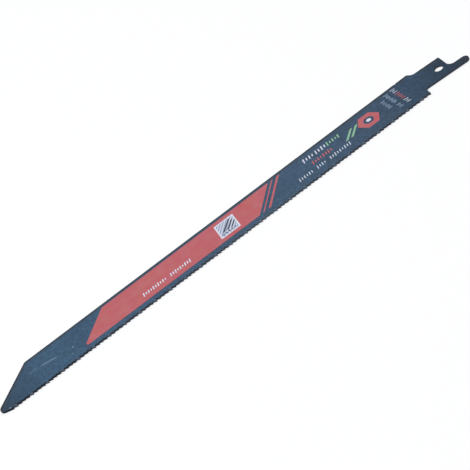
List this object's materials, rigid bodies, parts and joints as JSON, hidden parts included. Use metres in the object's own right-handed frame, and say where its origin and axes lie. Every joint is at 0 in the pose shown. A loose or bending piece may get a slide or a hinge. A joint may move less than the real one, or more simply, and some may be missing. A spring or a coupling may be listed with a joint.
{
  "type": "reciprocating saw blade",
  "caption": "Thin painted steel saw blade with a slanted nose, a row of milled and set metal-cutting teeth, and a half-inch shank with a pin hole and a tongue.",
  "frame": {"origin": "centre of the shank's pin hole, in the middle of the strip's thickness", "axes": "+X along the blade from the nose to the tongue, +Y from the teeth to the back edge, +Z out of the printed face"},
  "size_m": [0.2251, 0.0191, 0.0012],
  "materials": {
    "blue_enamel": "slate-blue baked enamel on hardened steel, satin",
    "red_ink": "soft red screen-printing ink",
    "white_ink": "cool white screen-printing ink",
    "green_ink": "pale green screen-printing ink",
    "dark_ink": "dark slate screen-printing ink"
  },
  "bodies": {
    "root": {"blade": "blue_enamel", "red_print": "red_ink", "white_print": "white_ink", "green_print": "green_ink", "dark_print": "dark_ink"}
  },
  "joints": []
}
